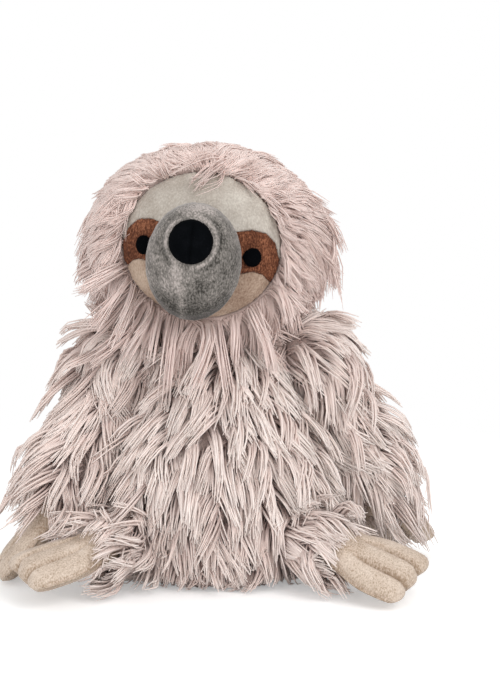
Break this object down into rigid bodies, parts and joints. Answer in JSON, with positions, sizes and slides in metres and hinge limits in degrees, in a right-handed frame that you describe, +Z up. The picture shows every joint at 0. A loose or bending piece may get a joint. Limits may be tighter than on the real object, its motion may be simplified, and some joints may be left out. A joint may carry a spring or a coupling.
{
  "type": "plush sloth",
  "caption": "Seated plush sloth in long shaggy pile, with a sewn face in short pile, a stuffed muzzle, and jointed arms and legs that end in three-clawed mitten paws.",
  "frame": {"origin": "on the floor, in the middle of the flat seat under the torso", "axes": "+Z up, the toy faces -Y, and +X is its own left side"},
  "size_m": [0.2944, 0.1702, 0.2887],
  "materials": {
    "long_pile": "long shaggy pile, matt",
    "forehead_pile": "short dense pile, soft sheen",
    "patch_pile": "short dense pile, soft sheen",
    "cheek_pile": "short dense pile, soft sheen",
    "muzzle_pile": "short dense pile, soft sheen",
    "black_pile": "short dense pile, matt",
    "paw_pile": "short dense pile, soft sheen",
    "filling": "loose fibre, matt",
    "pouch": "plain weave, matt"
  },
  "bodies": {
    "torso": {"torso_cover": "long_pile", "torso_stuffing": "filling", "pellet_pouch": "pouch"},
    "head": {"head_cover": "long_pile", "head_stuffing": "filling", "forehead_panel": "forehead_pile", "left_eye_patch": "patch_pile", "right_eye_patch": "patch_pile", "left_cheek_panel": "cheek_pile", "right_cheek_panel": "cheek_pile", "muzzle_cover": "muzzle_pile", "muzzle_stuffing": "filling", "nose": "black_pile", "left_eye": "black_pile", "right_eye": "black_pile"},
    "left_arm": {"left_arm_cover": "long_pile", "left_arm_stuffing": "filling"},
    "right_arm": {"right_arm_cover": "long_pile", "right_arm_stuffing": "filling"},
    "left_hand": {"left_hand_cover": "paw_pile", "left_hand_stuffing": "filling"},
    "right_hand": {"right_hand_cover": "paw_pile", "right_hand_stuffing": "filling"},
    "left_leg": {"left_leg_cover": "long_pile", "left_leg_stuffing": "filling"},
    "right_leg": {"right_leg_cover": "long_pile", "right_leg_stuffing": "filling"},
    "left_foot": {"left_foot_cover": "paw_pile", "left_foot_stuffing": "filling"},
    "right_foot": {"right_foot_cover": "paw_pile", "right_foot_stuffing": "filling"}
  },
  "joints": [
    {"name": "neck_turn", "type": "hinge", "parent": "torso", "child": "head", "pos_m": [0, 0, 0.13608], "axis": [0, 0, 1], "range_deg": [-30, 30]},
    {"name": "left_shoulder_lift", "type": "hinge", "parent": "torso", "child": "left_arm", "pos_m": [0.064, -0.002, 0.146], "axis": [0.0776, -0.9816, -0.1743], "range_deg": [0, 100]},
    {"name": "right_shoulder_lift", "type": "hinge", "parent": "torso", "child": "right_arm", "pos_m": [-0.064, -0.002, 0.146], "axis": [-0.0706, 0.9848, -0.1586], "range_deg": [0, 100]},
    {"name": "left_hip_lift", "type": "hinge", "parent": "torso", "child": "left_leg", "pos_m": [0.057, -0.043, 0.032], "axis": [-0.6428, -0.766, 0], "range_deg": [-40, 40]},
    {"name": "right_hip_lift", "type": "hinge", "parent": "torso", "child": "right_leg", "pos_m": [-0.057, -0.043, 0.032], "axis": [-0.6947, 0.7193, 0], "range_deg": [-40, 40]},
    {"name": "left_wrist_bend", "type": "hinge", "parent": "left_arm", "child": "left_hand", "pos_m": [0.10872, 0.01937, 0.04556], "axis": [-0.8942, 0.4328, -0.1144], "range_deg": [-25, 40]},
    {"name": "right_wrist_bend", "type": "hinge", "parent": "right_arm", "child": "right_hand", "pos_m": [-0.10886, -0.02145, 0.04524], "axis": [-0.0495, 0.9978, 0.0435], "range_deg": [-40, 25]},
    {"name": "left_ankle_bend", "type": "hinge", "parent": "left_leg", "child": "left_foot", "pos_m": [0.07995, -0.06226, 0.03043], "axis": [0.5403, 0.7425, 0.3959], "range_deg": [-30, 35]},
    {"name": "right_ankle_bend", "type": "hinge", "parent": "right_leg", "child": "right_foot", "pos_m": [-0.07855, -0.06381, 0.03043], "axis": [-0.4771, 0.8646, 0.1574], "range_deg": [-25, 35]}
  ]
}
